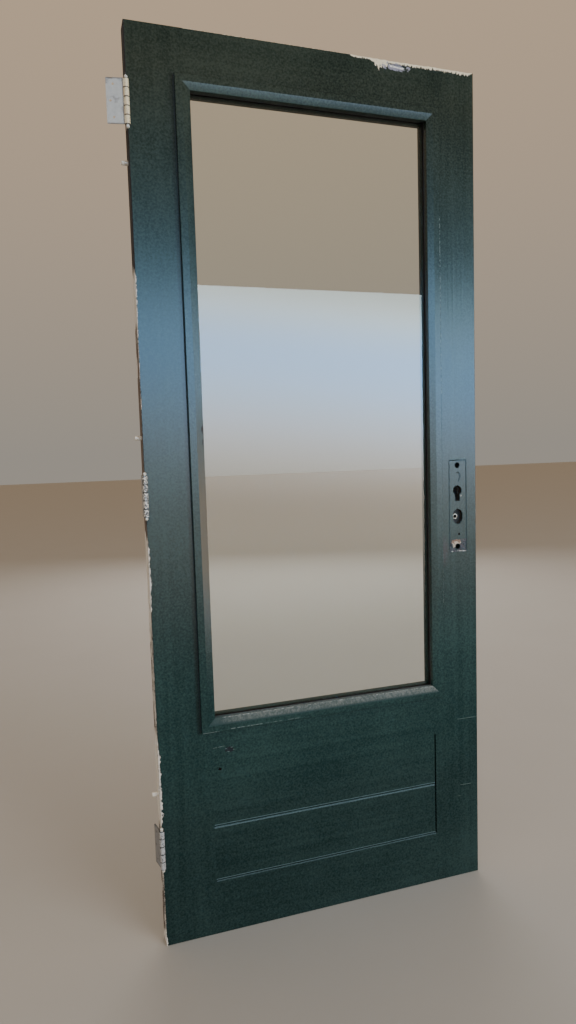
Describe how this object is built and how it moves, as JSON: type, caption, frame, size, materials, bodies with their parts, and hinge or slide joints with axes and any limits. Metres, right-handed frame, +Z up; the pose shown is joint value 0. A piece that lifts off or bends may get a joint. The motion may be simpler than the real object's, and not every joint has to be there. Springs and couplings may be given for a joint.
{
  "type": "half-glazed timber back door leaf",
  "caption": "Dark green painted timber door leaf, glazed above boarded infill, with three butt hinges, hinge bolts and a mortice lock whose handle plate has been taken off",
  "frame": {"origin": "the middle of the leaf's bottom edge face, at mid thickness", "axes": "+X towards the lock edge, -Y out of the face with the raised moulding, +Z up"},
  "size_m": [0.8588, 0.0515, 1.98],
  "materials": {
    "green_paint": "dark bottle green paint, satin, brushed, worn through in places",
    "glass": "clear, polished, lightly dirty",
    "black_gasket": "matt black strip",
    "zinc": "bright zinc plated steel, smeared with cream paint",
    "plain_steel": "plain turned steel",
    "lock_steel": "zinc plated pressed steel",
    "brass_bolt": "plain brass",
    "block_plastic": "plain black plastic",
    "spring_steel": "bright spring wire"
  },
  "bodies": {
    "leaf": {"hinge_stile": "green_paint", "lock_stile": "green_paint", "top_rail": "green_paint", "middle_rail": "green_paint", "bottom_rail": "green_paint", "upper_board": "green_paint", "lower_board": "green_paint", "front_moulding_top": "green_paint", "front_moulding_bottom": "green_paint", "front_moulding_left": "green_paint", "front_moulding_right": "green_paint", "rear_bead_top": "green_paint", "rear_bead_bottom": "green_paint", "rear_bead_left": "green_paint", "rear_bead_right": "green_paint", "glass_pane": "glass", "front_gasket_top": "black_gasket", "front_gasket_bottom": "black_gasket", "front_gasket_left": "black_gasket", "front_gasket_right": "black_gasket", "rear_gasket_top": "black_gasket", "rear_gasket_bottom": "black_gasket", "rear_gasket_left": "black_gasket", "rear_gasket_right": "black_gasket", "setting_blocks": "block_plastic", "top_hinge_door_leaf": "zinc", "middle_hinge_door_leaf": "zinc", "bottom_hinge_door_leaf": "zinc", "top_hinge_pin": "zinc", "middle_hinge_pin": "zinc", "bottom_hinge_pin": "zinc", "hinge_screws": "zinc", "hinge_bolts": "plain_steel", "lock_case": "lock_steel", "lock_cap": "lock_steel", "cap_screws": "lock_steel", "lock_forend": "lock_steel", "forend_screws": "lock_steel", "latch_spring": "spring_steel"},
    "top_free_leaf": {"top_hinge_free_leaf": "zinc"},
    "middle_free_leaf": {"middle_hinge_free_leaf": "zinc"},
    "bottom_free_leaf": {"bottom_hinge_free_leaf": "zinc"},
    "spindle_follower": {"spindle_follower": "lock_steel"},
    "latch_bolt": {"latch_bolt": "brass_bolt"},
    "dead_bolt": {"dead_bolt": "brass_bolt"}
  },
  "joints": [
    {"name": "top_hinge", "type": "hinge", "parent": "leaf", "child": "top_free_leaf", "pos_m": [-0.4049, -0.026, 1.8175], "axis": [0, 0, 1], "range_deg": [-80, 185]},
    {"name": "middle_hinge", "type": "hinge", "parent": "leaf", "child": "middle_free_leaf", "pos_m": [-0.4049, -0.026, 1.017], "axis": [0, 0, 1], "range_deg": [0, 265]},
    {"name": "bottom_hinge", "type": "hinge", "parent": "leaf", "child": "bottom_free_leaf", "pos_m": [-0.4049, -0.026, 0.2305], "axis": [0, 0, 1], "range_deg": [-12, 253]},
    {"name": "follower_turn", "type": "hinge", "parent": "leaf", "child": "spindle_follower", "pos_m": [0.353, 0, 0.93], "axis": [0, -1, 0], "range_deg": [0, 32.7]},
    {"name": "latch_slide", "type": "slide", "parent": "leaf", "child": "latch_bolt", "axis": [-1, 0, 0], "range_m": [0, 0.009], "stiffness_N_per_m": 300, "springref_m": -0.01, "deforming": ["latch_spring"]},
    {"name": "dead_bolt_slide", "type": "slide", "parent": "leaf", "child": "dead_bolt", "axis": [1, 0, 0], "range_m": [0, 0.02]}
  ],
  "couplings": [
    {"joint": "follower_turn", "follows": "latch_slide", "rad_per_m": 63.46}
  ]
}
